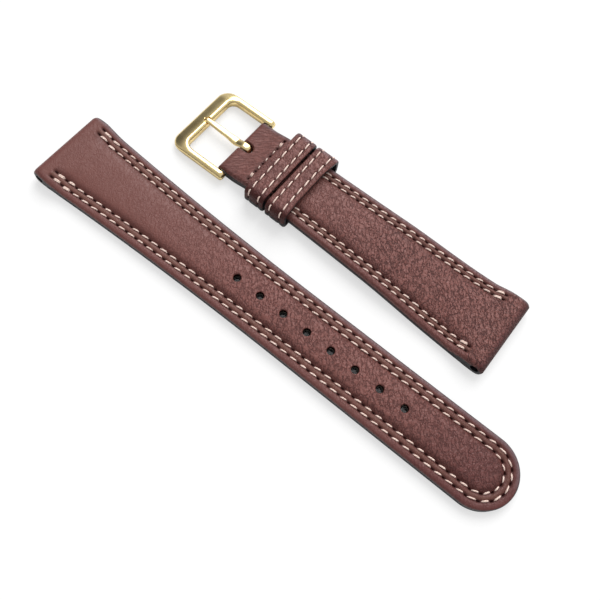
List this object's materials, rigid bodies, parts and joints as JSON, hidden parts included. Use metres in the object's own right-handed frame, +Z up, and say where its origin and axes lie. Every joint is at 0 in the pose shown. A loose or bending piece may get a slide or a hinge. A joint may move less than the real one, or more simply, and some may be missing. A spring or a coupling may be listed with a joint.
{
  "type": "leather watch strap",
  "caption": "Two-piece padded leather watch strap with double stitching, a row of adjusting holes, a fixed and a free keeper, and a gold pin buckle on a spring bar.",
  "frame": {"origin": "middle of the bounding box, on the surface that the strap lies on", "axes": "+X along both pieces, from the long piece's lug end to its tip; +Y from the long piece towards the short piece; +Z up, away from the surface"},
  "size_m": [0.1241, 0.047, 0.0062],
  "materials": {
    "cover_leather": "satin, fine grain, reddish brown",
    "lining_leather": "matt, smooth, dark brown with black painted edges",
    "padding": "matt felt",
    "thread": "waxed twisted thread, cream",
    "gold": "polished yellow gold plating",
    "steel": "satin stainless steel"
  },
  "bodies": {
    "short_strap": {"short_cover": "cover_leather", "short_pad": "padding", "short_lining": "lining_leather", "short_outer_thread": "thread", "short_inner_thread": "thread", "fold_thread": "thread", "fixed_keeper": "cover_leather", "fixed_keeper_lining": "lining_leather", "fixed_keeper_thread": "thread", "bar_tube": "steel", "bar_spring": "steel"},
    "long_strap": {"long_cover": "cover_leather", "long_pad": "padding", "long_lining": "lining_leather", "long_outer_thread": "thread", "long_inner_thread": "thread"},
    "free_keeper": {"free_keeper": "cover_leather", "free_keeper_lining": "lining_leather", "free_keeper_thread": "thread"},
    "buckle": {"buckle_frame": "gold"},
    "tongue": {"buckle_tongue": "gold"},
    "near_tip": {"bar_tip_near": "steel"},
    "far_tip": {"bar_tip_far": "steel"}
  },
  "joints": [
    {"name": "long_strap_slide", "type": "slide", "parent": "short_strap", "child": "long_strap", "axis": [0, -1, 0], "range_m": [0, 0.03]},
    {"name": "keeper_slide", "type": "slide", "parent": "short_strap", "child": "free_keeper", "axis": [1, 0, 0], "range_m": [-0.0005, 0.02]},
    {"name": "buckle_hinge", "type": "hinge", "parent": "short_strap", "child": "buckle", "pos_m": [-0.03045, 0.01316, 0.00155], "axis": [0, 1, 0], "range_deg": [-75, 20]},
    {"name": "tongue_hinge", "type": "hinge", "parent": "buckle", "child": "tongue", "pos_m": [-0.03045, 0.01316, 0.00155], "axis": [0, 1, 0], "range_deg": [0, 95]},
    {"name": "near_tip_slide", "type": "slide", "parent": "short_strap", "child": "near_tip", "axis": [0, 1, 0], "range_m": [0, 0.0011], "stiffness_N_per_m": 300, "springref_m": -0.001, "deforming": ["bar_spring"]},
    {"name": "far_tip_slide", "type": "slide", "parent": "short_strap", "child": "far_tip", "axis": [0, -1, 0], "range_m": [0, 0.0011], "stiffness_N_per_m": 300, "springref_m": -0.001, "deforming": ["bar_spring"]}
  ]
}
